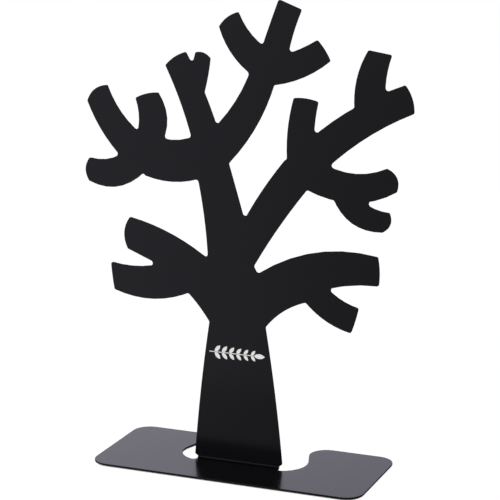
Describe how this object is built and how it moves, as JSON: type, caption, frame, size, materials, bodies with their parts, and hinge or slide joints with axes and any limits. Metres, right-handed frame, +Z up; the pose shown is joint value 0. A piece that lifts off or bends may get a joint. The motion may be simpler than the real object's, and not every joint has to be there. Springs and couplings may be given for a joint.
{
  "type": "tree-shaped photo stand",
  "caption": "Flat bare tree cut from sheet steel and folded up from its own base plate, to stand on a table and carry small photos on its boughs.",
  "frame": {"origin": "on the table, below the middle of the stand's whole width and the middle of its depth", "axes": "+Z up along the tree, +X to the right across the tree as seen from the front, +Y from the front to the back, square to the upright sheet"},
  "size_m": [0.227, 0.082, 0.3113],
  "materials": {
    "black_coated_steel": "satin black powder coat over sheet steel",
    "pad_rubber": "matt black rubber"
  },
  "bodies": {
    "root": {"folded_tree_sheet": "black_coated_steel", "pad_front_left": "pad_rubber", "pad_front_right": "pad_rubber", "pad_rear_left": "pad_rubber", "pad_rear_right": "pad_rubber"}
  },
  "joints": []
}
